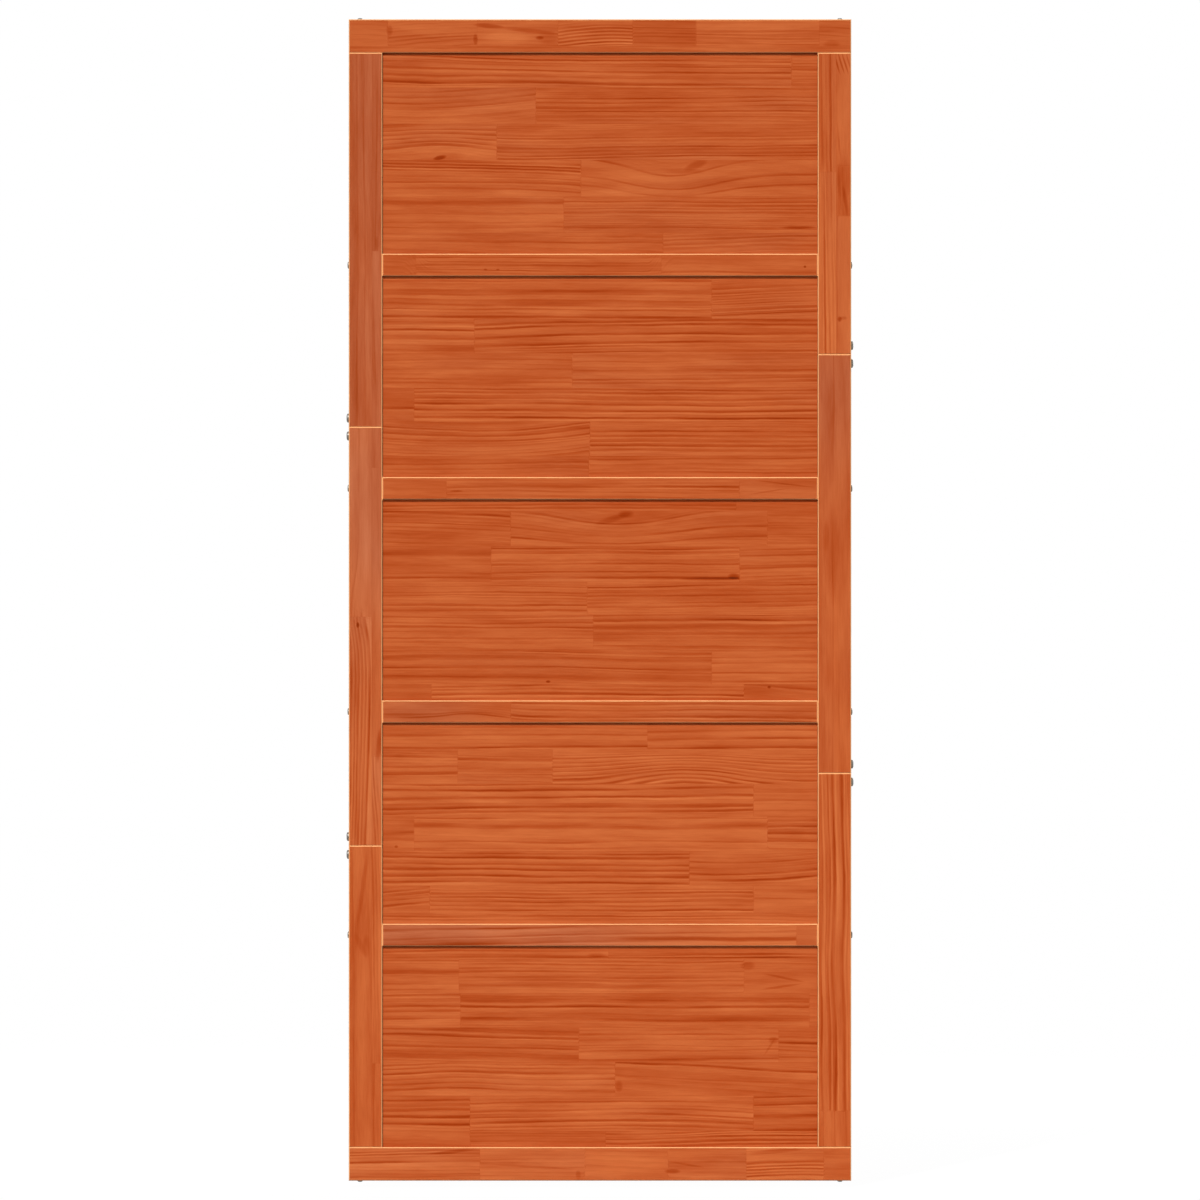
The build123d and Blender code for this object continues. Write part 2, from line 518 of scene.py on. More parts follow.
panel_staves["panel_2"] = (
    glue_row(
        76,
        cut_stave(590, "soft", "light", clear=(9, 32, 59), wide=(29, 50), bold=(73,)),
        cut_stave(780, "fine", "mid", -40, clear=(19, 28, 60, 68), faint=(33, 38, 48)),
    ),
    glue_row(
        138,
        cut_stave(165, "soft", "light", wide=(84, 111, 132), bold=(97,)),
        cut_stave(780, "soft", "dull", -16, 4.5, bold=(79, 86, 102, 118), faint=(124,), clear=(135,)),
    ),
    glue_row(
        200,
        cut_stave(340, "plain", "mid", faint=(150, 167, 183, 190)),
        cut_stave(780, "soft", "light", -15, faint=(152,), wide=(170,), clear=(185, 192)),
    ),
    glue_row(
        260,
        cut_stave(57, "plain", "dark", faint=(204, 215), bold=(237,)),
        cut_stave(780, "lined", "mid", 6, clear=(204, 210, 220), bold=(229, 240, 253)),
    ),
    glue_row(
        322,
        cut_stave(372, "lined", "mid", -24, -9.5, faint=(262,), clear=(276, 286, 296)),
        cut_stave(780, "fine", "mid", faint=(270,), clear=(277, 286, 295, 312), bold=(303,)),
    ),
    glue_row(
        360,
        cut_stave(370, "plain", "mid", clear=(335,), faint=(345, 352)),
        cut_stave(780, "fine", "mid", clear=(326, 351), faint=(345,)),
    ),
)
panel_staves["panel_3"] = (
    glue_row(
        20,
        cut_stave(634, "plain", "mid", clear=(11, 17)),
        cut_stave(780, "plain", "dark"),
    ),
    glue_row(
        84,
        cut_stave(230, "soft", "dull", 20, bold=(24,), clear=(32,), faint=(38, 42, 50, 61, 68, 77)),
        cut_stave(690, "plain", "mid", clear=(19, 48, 66)),
        cut_stave(780, "soft", "mid", faint=(28, 45, 53, 60, 78)),
        knots=(
            bend_at(415, 25, 130, 60, 30),
            mark_at(437, 26, 17, 9, 0.22),
            mark_at(412, 35, 38, 8, 0.18, -300),
        ),
    ),
    glue_row(
        147,
        cut_stave(195, "plain", "dull", wide=(98,), faint=(118, 133), clear=(141,)),
        cut_stave(640, "fine", "mid", -5, clear=(89, 96, 116), bold=(142,), faint=(109, 131)),
        cut_stave(780, "soft", "light", -40, faint=(90, 144), clear=(101, 122)),
        knots=(mark_at(590, 142, 70, 4, 0.25), mark_at(630, 138, 13, 7, 0.35)),
    ),
    glue_row(
        207,
        cut_stave(367, "soft", "light", faint=(155,), clear=(167, 172, 191, 200)),
        cut_stave(780, "fine", "mid", -15, clear=(155, 171, 184, 191), faint=(164, 178)),
    ),
    glue_row(
        268,
        cut_stave(378, "soft", "light", 5, clear=(211, 222, 230, 249), faint=(237, 256)),
        cut_stave(780, "soft", "dull", clear=(209,), bold=(218,), wide=(230,), faint=(242, 249)),
    ),
    glue_row(
        331,
        cut_stave(590, "soft", "dull", 10, clear=(274, 303), wide=(286, 320)),
        cut_stave(780, "soft", "light", faint=(270,), clear=(282, 292, 311, 327)),
        knots=(mark_at(297, 326, 5, 3, 0.5),),
    ),
    glue_row(
        360,
        cut_stave(88, "plain", "dull"),
        cut_stave(648, "soft", "pale", 0, 4, clear=(333, 339, 355), bold=(347,)),
        cut_stave(780, "plain", "dull", 75, clear=(338,)),
        knots=(mark_at(693, 336, 4, 3, 0.4),),
    ),
)
panel_staves["panel_4"] = (
    glue_row(
        47,
        cut_stave(475, "soft", "light", faint=(8,), clear=(21,), bold=(43,)),
        cut_stave(780, "soft", "mid", -5, clear=(15,), bold=(29, 44)),
    ),
    glue_row(
        109,
        cut_stave(135, "soft", "mid", clear=(63, 80, 92)),
        cut_stave(305, "soft", "mid", bold=(66,), wide=(85,), faint=(95,)),
        cut_stave(780, "fine", "mid", clear=(66, 73, 80, 88, 96), bold=(103, 112, 121, 130)),
        knots=(bend_at(545, 108, 110, 45, -22),),
    ),
    glue_row(
        168,
        cut_stave(665, "soft", "mid", -8, clear=(110, 159), bold=(120, 134, 151)),
        cut_stave(780, "plain", "light", faint=(124, 140, 157)),
    ),
    glue_row(
        230,
        cut_stave(57, "plain", "mid", clear=(198,), faint=(210,)),
        cut_stave(690, "plain", "pale", clear=(170, 213), wide=(185,), faint=(225,)),
        cut_stave(780, "soft", "mid", clear=(170, 178, 214), bold=(188, 200)),
        knots=(mark_at(25, 222, 4, 3, 0.3),),
    ),
    glue_row(
        292,
        cut_stave(550, "soft", "dull", 6, clear=(235, 254), bold=(242, 263, 275, 286)),
        cut_stave(780, "soft", "mid", -30, -4, clear=(241, 249, 259), bold=(270, 281)),
    ),
    glue_row(
        340,
        cut_stave(85, "soft", "mid", -100, clear=(300, 309, 317, 326)),
        cut_stave(665, "fine", "mid", faint=(299,), clear=(305, 311, 319, 328), bold=(336,)),
        cut_stave(780, "plain", "light", faint=(314,)),
    ),
    glue_row(
        360,
        cut_stave(780, "soft", "light", clear=(346,), faint=(352,)),
    ),
)
panel_staves["panel_5"] = (
    glue_row(
        22,
        cut_stave(405, "soft", "light", clear=(9, 20)),
        cut_stave(780, "soft", "light", clear=(16,), bold=(21,)),
        knots=(mark_at(385, 17, 22, 5, 0.2),),
    ),
    glue_row(
        84,
        cut_stave(137, "soft", "light", faint=(26, 78), wide=(46,), clear=(68,)),
        cut_stave(648, "soft", "light", faint=(28, 33, 40, 63), clear=(46, 57), wide=(72,)),
        cut_stave(780, "plain", "light"),
        knots=(
            mark_at(655, 35, 16, 9, 0.18),
            mark_at(720, 57, 42, 3, 0.2, 200),
            mark_at(715, 73, 42, 3, 0.2, -150),
        ),
    ),
    glue_row(
        146,
        cut_stave(140, "fine", "light", clear=(90, 100, 117, 129), bold=(109,)),
        cut_stave(765, "soft", "dull", wide=(96, 130), bold=(108,)),
        cut_stave(780, "soft", "mid"),
    ),
    glue_row(
        208,
        cut_stave(352, "soft", "dull", 20, wide=(152, 198), bold=(163,), clear=(181,)),
        cut_stave(710, "soft", "pale", -8, faint=(149,), clear=(158, 168, 188), wide=(203,)),
        cut_stave(780, "soft", "mid", clear=(165, 200), bold=(175,)),
        knots=(mark_at(701, 168, 11, 7, 0.2), mark_at(694, 180, 12, 5, 0.12, -1500)),
    ),
    glue_row(
        268,
        cut_stave(417, "soft", "pale", clear=(214, 221, 241, 251, 261), bold=(230,)),
        cut_stave(780, "plain", "mid", 50, bold=(217,), faint=(240,)),
        knots=(bend_at(120, 240, 80, 60, -6), mark_at(424, 251, 8, 12, 0.18)),
    ),
    glue_row(
        331,
        cut_stave(157, "soft", "mid", clear=(276, 286, 294), bold=(306, 320)),
        cut_stave(665, "soft", "pale", 0, 3, clear=(278, 294, 304, 323, 329), bold=(314,)),
        cut_stave(780, "soft", "dull", -20, bold=(271, 285, 328), wide=(305,)),
    ),
    glue_row(
        360,
        cut_stave(157, "plain", "mid"),
        cut_stave(400, "soft", "mid", faint=(336, 342, 350)),
        cut_stave(780, "soft", "mid", -20, clear=(333, 337, 357), bold=(342, 350)),
    ),
)
rail_staves = {}
rail_staves["top_rail"] = (
    glue_row(
        48,
        cut_stave(70, "plain", "light"),
        cut_stave(230, "soft", "light", -60, faint=(30, 36, 42)),
        cut_stave(375, "soft", "light"),
        cut_stave(509, "soft", "light", -55, 3.5, clear=(10, 46), bold=(15, 21, 27, 33, 40)),
        cut_stave(622, "soft", "dark", 8, faint=(26, 32, 38), clear=(43,)),
        cut_stave(843, "soft", "pale", faint=(22, 27, 35, 40, 45)),
        cut_stave(900, "soft", "mid", 40, faint=(20, 38)),
        knots=(
            mark_at(73, 20, 7, 13, 0.16),
            mark_at(227, 36, 5, 12, 0.25),
            mark_at(252, 12, 32, 5, 0.3, 100),
            mark_at(320, 20, 60, 5, 0.15, 100),
            mark_at(285, 32, 55, 13, -0.14),
            mark_at(342, 33, 9, 4, 0.35),
            mark_at(358, 33, 22, 15, 0.12),
            mark_at(865, 45, 18, 9, 0.14),
        ),
    ),
    glue_row(
        60,
        cut_stave(900, "plain", "light", faint=(51,)),
    ),
)
rail_staves["bottom_rail"] = (
    glue_row(
        60,
        cut_stave(235, "soft", "pale", -15, bold=(26,), clear=(8, 13, 18, 53)),
        cut_stave(423, "soft", "light"),
        cut_stave(572, "plain", "pale"),
        cut_stave(712, "soft", "light"),
        cut_stave(851, "soft", "pale", -25, 2, bold=(24, 30, 36, 42, 48)),
        cut_stave(900, "plain", "mid"),
        knots=(
            mark_at(185, 8, 50, 4, 0.25, -110),
            mark_at(333, 35, 85, 3, 0.12, 60),
            mark_at(411, 49, 6, 10, 0.16),
            mark_at(580, 43, 17, 5, 0.28),
            mark_at(615, 42, 45, 12, 0.05),
            mark_at(605, 31, 36, 2.5, 0.15, 170),
            mark_at(760, 8, 62, 5, 0.2, -83),
        ),
    ),
)
rail_staves["mid_rail_1"] = (
    glue_row(
        40,
        cut_stave(60, "plain", "dull"),
        cut_stave(500, "fine", "mid", blend=25, clear=(7, 21, 29, 35), faint=(26,)),
        cut_stave(780, "plain", "light", blend=25, clear=(34,)),
        knots=(mark_at(185, 28, 4, 2, 0.3), mark_at(207, 28, 4, 2, 0.3), mark_at(757, 23, 3, 2.5, 0.5)),
    ),
)
rail_staves["mid_rail_2"] = (
    glue_row(
        40,
        cut_stave(115, "plain", "mid"),
        cut_stave(640, "soft", "mid", faint=(6, 12, 27, 36), clear=(18,)),
        cut_stave(780, "plain", "mid"),
        knots=(
            mark_at(133, 25, 14, 2, 0.3),
            mark_at(720, 12, 60, 1.8, 0.2, 100),
            mark_at(690, 26, 42, 1.8, 0.15, -150),
        ),
    ),
)
rail_staves["mid_rail_3"] = (
    glue_row(
        40,
        cut_stave(230, "plain", "light", clear=(32,), faint=(28,)),
        cut_stave(780, "fine", "mid", 8, clear=(7, 18), bold=(30,), faint=(36,)),
        knots=(bend_at(160, 28, 60, 20, -10), bloom_at(90, 20, 100, 60, 0.5)),
    ),
)
rail_staves["mid_rail_4"] = (
    glue_row(
        40,
        cut_stave(742, "soft", "light", -18, bold=(5,), clear=(20,), heavy=(32,)),
        cut_stave(780, "plain", "mid"),
        knots=(bloom_at(50, 20, 110, 60, 1.4), bloom_at(300, 20, 160, 60, 0.6)),
    ),
)

# Stiles run downwards: places are along from the door's top edge and across from the stile's left edge.
stile_staves = {}
stile_staves["left_stile_top"] = (
    glue_row(
        42,
        cut_stave(730, "calm", "mid", faint=(14, 27)),
    ),
    glue_row(
        60,
        cut_stave(415, "calm", "mid", -15, faint=(50,)),
        cut_stave(730, "calm", "light", 12, faint=(46,)),
        knots=(mark_at(402, 51, 16, 5, 0.12), mark_at(370, 55, 30, 3, 0.1, -60)),
    ),
)
stile_staves["left_stile_middle"] = (
    glue_row(
        41,
        cut_stave(1070, "calm", "pale", faint=(16,)),
        cut_stave(1480, "plain", "light", -28, blend=25, clear=(10, 16, 22, 28), bold=(4, 35)),
        knots=(
            bend_at(1050, 20, 60, 50, -14),
            mark_at(1085, 16, 6, 3.5, 0.45),
            bloom_at(850, 30, 230, 80, 1.0),
        ),
    ),
    glue_row(
        60,
        cut_stave(803, "calm", "dull"),
        cut_stave(1320, "calm", "mid"),
        cut_stave(1480, "plain", "pale", 45, clear=(50,), faint=(45, 56)),
        knots=(mark_at(1300, 54, 36, 6, 0.25, -100), bloom_at(850, 30, 230, 80, 1.0)),
    ),
)
stile_staves["left_stile_bottom"] = (
    glue_row(
        41,
        cut_stave(2080, "calm", "light", 8, faint=(9,)),
        knots=(
            mark_at(1550, 26, 90, 5, 0.13, -130),
            mark_at(1622, 26, 66, 16, 0.06),
            mark_at(1636, 14, 42, 6, 0.07, -60),
            mark_at(1658, 21, 26, 7, 0.08, 420),
            mark_at(1660, 32, 24, 9, 0.11),
            mark_at(1900, 12, 110, 3, 0.07, 40),
        ),
    ),
    glue_row(
        60,
        cut_stave(1870, "soft", "pale", 20, faint=(46, 52)),
        cut_stave(2080, "calm", "mid", -12, faint=(44,)),
    ),
)
stile_staves["right_stile_top"] = (
    glue_row(
        33,
        cut_stave(273, "soft", "dull", clear=(24,), faint=(6,)),
        cut_stave(600, "soft", "pale", 5, clear=(12, 26), faint=(7, 20, 31)),
        knots=(mark_at(225, 11, 47, 8, 0.12),),
    ),
    glue_row(
        60,
        cut_stave(262, "calm", "light"),
        cut_stave(352, "plain", "dark"),
        cut_stave(600, "calm", "light", faint=(36,)),
        knots=(
            *(mark_at(78, across, 24, 2.2, 0.3, 300) for across in (34, 42, 49)),
            mark_at(78, 56, 18, 2.0, 0.25, 300),
            mark_at(218, 38, 42, 2.5, 0.12, 90),
            mark_at(286, 47, 46, 17, 0.13),
            mark_at(304, 39, 48, 3, 0.1, 60),
            mark_at(325, 49, 32, 4, 0.18, 130),
            mark_at(537, 39, 6, 5, 0.35),
            mark_at(535, 46, 4, 9, 0.18),
        ),
    ),
)
stile_staves["right_stile_middle"] = (
    glue_row(
        60,
        cut_stave(1350, "calm", "light", faint=(27,)),
        knots=(
            mark_at(955, 26, 100, 17, 0.16),
            mark_at(925, 15, 35, 6, 0.12),
            mark_at(1265, 12, 70, 2.5, 0.08),
            mark_at(1240, 38, 90, 2.5, 0.08),
            bloom_at(660, 30, 150, 80, 1.0),
        ),
    ),
)
stile_staves["right_stile_bottom"] = (
    glue_row(
        60,
        cut_stave(1955, "soft", "light", 9, heavy=(29, 46), clear=(8, 21), faint=(53,)),
        cut_stave(2080, "calm", "pale", faint=(10, 30, 50)),
        knots=(bend_at(1690, 30, 75, 40, -5),),
    ),
)

# How much lighter and how rosy whole pieces are
piece_looks = {
    "panel_3": (0.0, -0.1),
    "panel_4": (0.5, -0.1),
    "panel_5": (0.0, -0.1),
    "top_rail": (-0.1, -0.2),
    "mid_rail_1": (0.2, -0.15),
    "mid_rail_2": (0.4, 0.0),
    "mid_rail_3": (0.2, 0.1),
    "mid_rail_4": (1.2, 0.2),
    "bottom_rail": (0.6, 0.1),
    "left_stile_top": (0.1, 1.0),
    "left_stile_middle": (1.0, 0.2),
    "left_stile_bottom": (0.4, -0.35),
    "right_stile_top": (1.1, 0.1),
    "right_stile_middle": (0.0, 0.1),
    "right_stile_bottom": (0.0, -0.3),
}

# How a piece's object coordinates turn into places along, across and deep
turned_crossways = ((90, 0, 0), (1, 1, 1), (1, 0, 0))
turned_downwards = ((90, 0, -90), (-1, 1, 1), (0, 0, 1))
seam_reach = 0.35
stave_seed_step = 0.618
piece_seed_step = 10


def stepped(recipe, coordinate, limits, choices):
    """The choice of the step that the coordinate lies on. Each limit ends a step."""
    chosen = choices[0]
    for limit, following in zip(limits, choices[1:]):
        beyond = recipe.math("GREATER_THAN", coordinate, limit)
        chosen = [recipe.mix("VECTOR", beyond, before, after) for before, after in zip(chosen, following)]
    return chosen


def blended(recipe, along, staves, choices):
    """The choice of the stave that the point lies on, blended into the next one at each joint."""
    chosen = choices[0]
    for stave, next_stave, following in zip(staves, staves[1:], choices[1:]):
        reach = next_stave["blend"]
        beyond = recipe.ease(along, stave["end"] - reach, stave["end"] + reach)
        chosen = recipe.mix("VECTOR", beyond, chosen, following)
    return chosen


def seams(recipe, coordinate, limits):
    """The glue lines at the limits of the steps."""
    lines = 0.0
    for limit in limits:
        lines = recipe.math("MAXIMUM", lines, recipe.math("COMPARE", coordinate, limit, seam_reach))
    return lines


def line_stops(lines, upper, lower):
    """Places and depths of a stave's lines, slow to darken and quick to turn pale.

    A line that starts before the one above it is over cuts that one short.
    """
    stops = [(upper, 0.0)]
    for place, look in sorted((place, look) for look, places in lines.items() for place in places):
        depth, width = line_looks[look]
        while stops[-1][0] >= place:
            stops.pop()
        if place - width > stops[-1][0]:
            stops.append((place - width, 0.0))
        stops.append((place, depth))
        stops.append((place + line_tail * width, -line_glint * depth))
    stops.append((lower, 0.0))
    return stops


def draw_lines(recipe, level, lines, upper, lower):
    """The lines of one stave that stand out, as how much darker it is there, round a plain middle."""
    first = upper - line_margin
    reach = lower + line_margin - first
    stops = line_stops(lines, first, first + reach)
    filled = 0.0
    for (place, depth), (next_place, next_depth) in zip(stops, stops[1:]):
        filled += (next_place - place) * (depth + next_depth) / 2
    plain = line_middle - line_lift * filled / (lower - upper)
    greys = []
    for place, depth in stops:
        shade = plain + depth
        greys.append(((place - first) / reach, (shade, shade, shade, 1)))
    part = recipe.math("DIVIDE", recipe.math("SUBTRACT", level, first), reach)
    return recipe.ramp(part, greys, "EASE")


def stave_values(start, stave, upper, lower, share, lighter, seed):
    """What the groups have to know of one stave."""
    heart_below, heart_behind, dive, spacing, bold = cuts[stave["cut"]]
    heart = ((upper + lower) / 2 + heart_below, heart_behind, seed)
    lean = (stave["fall"] * mm, dive * mm, 0)
    look = (tones[stave["tone"]] * share + lighter, bold, spacing)
    middle = (start + stave["end"]) / 2
    bend = (middle, stave["end"] - middle, stave["bow"])
    return [heart, lean, look, bend]


def make_wood(piece, rows, corner, turn, piece_start, first_seed):
    """The finish of one wooden piece, glued up as its cut list says."""
    material, recipe, output = new_material("pine_" + piece)
    angles, mirrored, grain = turn
    mapping = recipe.add(
        "ShaderNodeMapping",
        {
            "Vector": recipe.add("ShaderNodeTexCoord").outputs["Object"],
            "Location": corner,
            "Rotation": [radians(angle) for angle in angles],
            "Scale": [side / mm for side in mirrored],
        },
    )
    place = mapping.outputs["Vector"]
    along, across, deep = recipe.split(place)
    wobble = recipe.product(recipe.noise(place, wobble_cell, (first_seed, 0, 0), detail=3.0), wobble_reach)
    wobbly = recipe.join(along, recipe.math("ADD", across, wobble), deep)
    edges = [row["edge"] for row in rows]

    # Which stave the point lies on, its bends and its marks
    lighter, rosy_piece = piece_looks.get(piece, (0.0, 0.0))
    share = panel_tone_share if piece in panel_staves else 1.0
    seed = first_seed
    row_choices = []
    for upper, row in zip([0] + edges, rows):
        choices = []
        start = piece_start
        for stave in row["staves"]:
            choices.append(stave_values(start, stave, upper, row["edge"], share, lighter, seed))
            seed += stave_seed_step
            start = stave["end"]
        ends = [stave["end"] for stave in row["staves"][:-1]]
        chosen = stepped(recipe, along, ends, choices)
        chosen[2] = blended(recipe, along, row["staves"], [values[2] for values in choices])
        marks = (0, 0, 0)
        for values in row["knots"]:
            knot = recipe.use(knot_group, Place=wobbly, **values)
            marks = recipe.vector("ADD", marks, knot["Marks"])
        seam = recipe.join(seams(recipe, along, ends), 0, 0)
        row_choices.append(chosen + [marks, seam])
    heart, lean, look, bend, marks, seam = stepped(recipe, across, edges[:-1], row_choices)
    push, dark, rosy = recipe.split(marks)
    seam = recipe.math("MAXIMUM", recipe.split(seam)[0], seams(recipe, across, edges[:-1]))

    # How the grain runs there, and the lines that stand out
    flow = recipe.use(
        flow_group,
        Place=place,
        Seed=recipe.split(heart)[2],
        Fall=recipe.split(lean)[0],
        Bend=bend,
        Push=push,
    )
    slanted = recipe.math("MULTIPLY_ADD", deep, ring_slant, flow["Level"])
    row_lines = []
    for upper, row in zip([0] + edges, rows):
        drawn = [draw_lines(recipe, slanted, stave["lines"], upper, row["edge"]) for stave in row["staves"]]
        row_lines.append([blended(recipe, along, row["staves"], drawn)])
    lines = stepped(recipe, across, edges[:-1], row_lines)[0]
    depth = recipe.math("MULTIPLY_ADD", recipe.split(lines)[0], line_scale, -line_middle * line_scale)

    pine = recipe.use(
        pine_group,
        Place=place,
        Level=flow["Level"],
        Shift=flow["Shift"],
        Drift=flow["Drift"],
        Heart=heart,
        Lean=lean,
        Look=look,
        Lines=depth,
        Dark=dark,
        Rosy=recipe.math("ADD", rosy, rosy_piece),
        Seam=seam,
        Grain=grain,
    )
    shader = recipe.add(
        "ShaderNodeBsdfPrincipled",
        {"Base Color": pine["Colour"], "Roughness": pine["Roughness"], "Normal": pine["Normal"]},
    )
    shader.inputs["Specular IOR Level"].default_value = wood_gloss
    recipe.fill(output.inputs["Surface"], shader.outputs["BSDF"])
    return material


def finish_node(piece, rows, left, top, turn, first_seed):
    """Stain one CAD node. Its pattern starts at the given left and upper edge, and at its front face."""
    low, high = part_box(piece)
    if turn is turned_crossways:
        corner = (-left / mm, top / mm, -low.y / mm)
        piece_start = 0
    else:
        corner = (top / mm, -left / mm, -low.y / mm)
        piece_start = (top - high.z) / mm
    material = make_wood(piece, rows, corner, turn, piece_start, first_seed)
    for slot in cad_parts[piece].material_slots:
        slot.material = material


panel_tops = [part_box(rail)[0].z for rail in ["top_rail"] + mid_rails]
next_seed = 1.0
for panel_top, (piece, rows) in zip(panel_tops, panel_staves.items()):
    finish_node(piece, rows, opening_left, panel_top, turned_crossways, next_seed)
    next_seed += piece_seed_step
for piece, rows in rail_staves.items():
    rail_left = opening_left if piece in mid_rails else door_low.x
    finish_node(piece, rows, rail_left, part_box(piece)[1].z, turned_crossways, next_seed)
    next_seed += piece_seed_step
for piece, rows in stile_staves.items():
    finish_node(piece, rows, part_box(piece)[0].x, door_high.z, turned_downwards, next_seed)
    next_seed += piece_seed_step


# Bolts and screws

# Sizes in millimetres: the head's radius, its rim and dome, the shank's radius and length, and the radius
# and length of the point that bites into the next piece
fastener_sizes = {
    "stile_bolt": (8.0, 2.0, 2.2, 3.0, 60, 2.4, 40),
    "rail_screw": (6.0, 1.1, 1.4, 2.5, 60, 1.9, 38),
    "corner_screw": (4.75, 0.6, 2.2, 2.5, 60, 1.9, 38),
}
head_sides = 32
dome_steps = 6
dome_turn = radians(62)
socket_radius = 2.9
socket_depth = 2.6
cross_width = 1.0
cross_arm = 1.3
cross_depth = 1.5
cross_taper = 0.4
tip_share = 0.15
tip_taper = 0.1
smooth_angle = radians(35)
corner_inset = 20
bolt_from_joint = 16
turn_step = radians(37)

# How far a normal points along Z at most on a side, and at least on an end
side_limit = 0.5
end_limit = 0.9

# Dull grey zinc: a faint bloom and fine scratches, with their cells in millimetres
bloom_cell = (2.5, 2.5, 2.5)
bloom_shift = (3, 0, 0)
zinc_colours = ((0.15, 0.14, 0.125), (0.24, 0.225, 0.205))
scratch_cell = (0.5, 0.5, 0.5)
scratch_shift = (7, 0, 0)
zinc_roughness = (0.44, 0.54)
zinc_noise = (-0.3, 0.3)


def select_only(piece):
    """Make this the one piece that operators work on."""
    bpy.ops.object.select_all(action="DESELECT")
    bpy.context.view_layer.objects.active = piece
    piece.select_set(True)


def pick_faces(test):
    """Select only the faces whose middle and normal pass the test, of the piece in edit mode."""
    bpy.ops.mesh.select_all(action="DESELECT")
    mesh = bmesh.from_edit_mesh(bpy.context.object.data)
    for face in mesh.faces:
        face.select_set(test(face.calc_center_median(), face.normal))
    bmesh.update_edit_mesh(bpy.context.object.data)


def pull_face(distance, scale):
    """Extrude the selected face along Z and shrink its new outline."""
    bpy.ops.mesh.extrude_region_move(TRANSFORM_OT_translate={"value": (0, 0, distance * mm)})
    bpy.ops.transform.resize(value=(scale, scale, 1), center_override=(0, 0, 0))


def turn_faces_outwards():
    """Make all faces of the piece in edit mode point outwards."""
    bpy.ops.mesh.select_all(action="SELECT")
    bpy.ops.mesh.normals_make_consistent(inside=False)


def cut_recess(head, cutter):
    """Take the cutter's shape out of the head."""
    select_only(head)
    bpy.ops.object.modifier_add(type="BOOLEAN")
    cut = head.modifiers[-1]
    cut.operation = "DIFFERENCE"
    cut.solver = "EXACT"
    cut.object = cutter
    bpy.ops.object.modifier_apply(modifier=cut.name)
    bpy.data.objects.remove(cutter, do_unlink=True)


def model_socket_cutter(top):
    """A six-sided plug, for the socket of the bolts."""
    bpy.ops.mesh.primitive_cylinder_add(
        vertices=6,
        radius=socket_radius * mm,
        depth=2 * socket_depth * mm,
        location=(0, 0, top * mm),
    )
    return bpy.context.object


def model_cross_cutter(top):
    """A plug with four tapered arms, for the cross in the screws."""
    bpy.ops.mesh.primitive_cube_add(size=cross_width * mm, location=(0, 0, top * mm))
    bpy.ops.object.mode_set(mode="EDIT")
    bpy.ops.transform.resize(value=(1, 1, 2 * cross_depth / cross_width), center_override=(0, 0, top * mm))
    pick_faces(lambda middle, normal: abs(normal.z) < side_limit)
    bpy.ops.mesh.extrude_faces_move(TRANSFORM_OT_shrink_fatten={"value": cross_arm * mm})
    pick_faces(lambda middle, normal: normal.z < -end_limit)
    bpy.ops.transform.resize(value=(cross_taper, cross_taper, 1), center_override=(0, 0, 0))
    bpy.ops.object.mode_set(mode="OBJECT")
    return bpy.context.object


def model_fastener(kind):
    """One bolt or screw that stands on the origin with its head up: rim, dome, recess, shank and point."""
    head_radius, rim, dome, shank_radius, shank_length, point_radius, point_length = fastener_sizes[kind]
    bpy.ops.object.select_all(action="DESELECT")
    bpy.ops.mesh.primitive_circle_add(vertices=head_sides, radius=head_radius * mm, fill_type="NGON")
    head = bpy.context.object
    bpy.ops.object.mode_set(mode="EDIT")
    bpy.ops.mesh.select_all(action="SELECT")
    pull_face(rim, 1)
    radius = head_radius
    height = 0
    for step in range(1, dome_steps + 1):
        angle = dome_turn * step / dome_steps
        next_radius = head_radius * cos(angle)
        next_height = dome * sin(angle) / sin(dome_turn)
        pull_face(next_height - height, next_radius / radius)
        radius = next_radius
        height = next_height
    turn_faces_outwards()
    pick_faces(lambda middle, normal: normal.z < -end_limit)
    bpy.ops.mesh.inset(thickness=(head_radius - shank_radius) * mm)
    pull_face(-shank_length, 1)
    pull_face(0, point_radius / shank_radius)
    pull_face(-point_length * (1 - tip_share), 1)
    pull_face(-point_length * tip_share, tip_taper)
    turn_faces_outwards()
    bpy.ops.object.mode_set(mode="OBJECT")
    top = rim + dome
    cut_recess(head, model_socket_cutter(top) if kind == "stile_bolt" else model_cross_cutter(top))
    bpy.ops.object.shade_smooth_by_angle(angle=smooth_angle)
    return head


def make_zinc():
    """Dull grey zinc plate, the same on every bolt and screw."""
    material, recipe, output = new_material("dull_zinc")
    place = recipe.vector("DIVIDE", recipe.add("ShaderNodeTexCoord").outputs["Object"], (mm, mm, mm))
    bloom = recipe.noise(place, bloom_cell, bloom_shift, detail=2.0)
    scratches = recipe.noise(place, scratch_cell, scratch_shift, detail=3.0)
    colour = recipe.mix("VECTOR", recipe.ease(bloom, *zinc_noise), *zinc_colours)
    roughness = recipe.ease(scratches, *zinc_noise, *zinc_roughness)
    shader = recipe.add("ShaderNodeBsdfPrincipled", {"Base Color": colour, "Roughness": roughness})
    shader.inputs["Metallic"].default_value = 1.0
    recipe.fill(output.inputs["Surface"], shader.outputs["BSDF"])
    return material


def place_fastener(model, name, place, outwards, turn):
    """Set a copy of the bolt or screw where its hole is, with its head outwards."""
    piece = model.copy()
    piece.data = model.data.copy()
    piece.name = name
    bpy.context.scene.collection.objects.link(piece)
    select_only(piece)
    turned = Vector(outwards).to_track_quat("Z", "Y").to_matrix().to_4x4()
    piece.matrix_world = Matrix.Translation(place) @ turned @ Matrix.Rotation(turn, 4, "Z")
    bpy.ops.object.transform_apply(location=True, rotation=True, scale=True)
    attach(piece, "root")


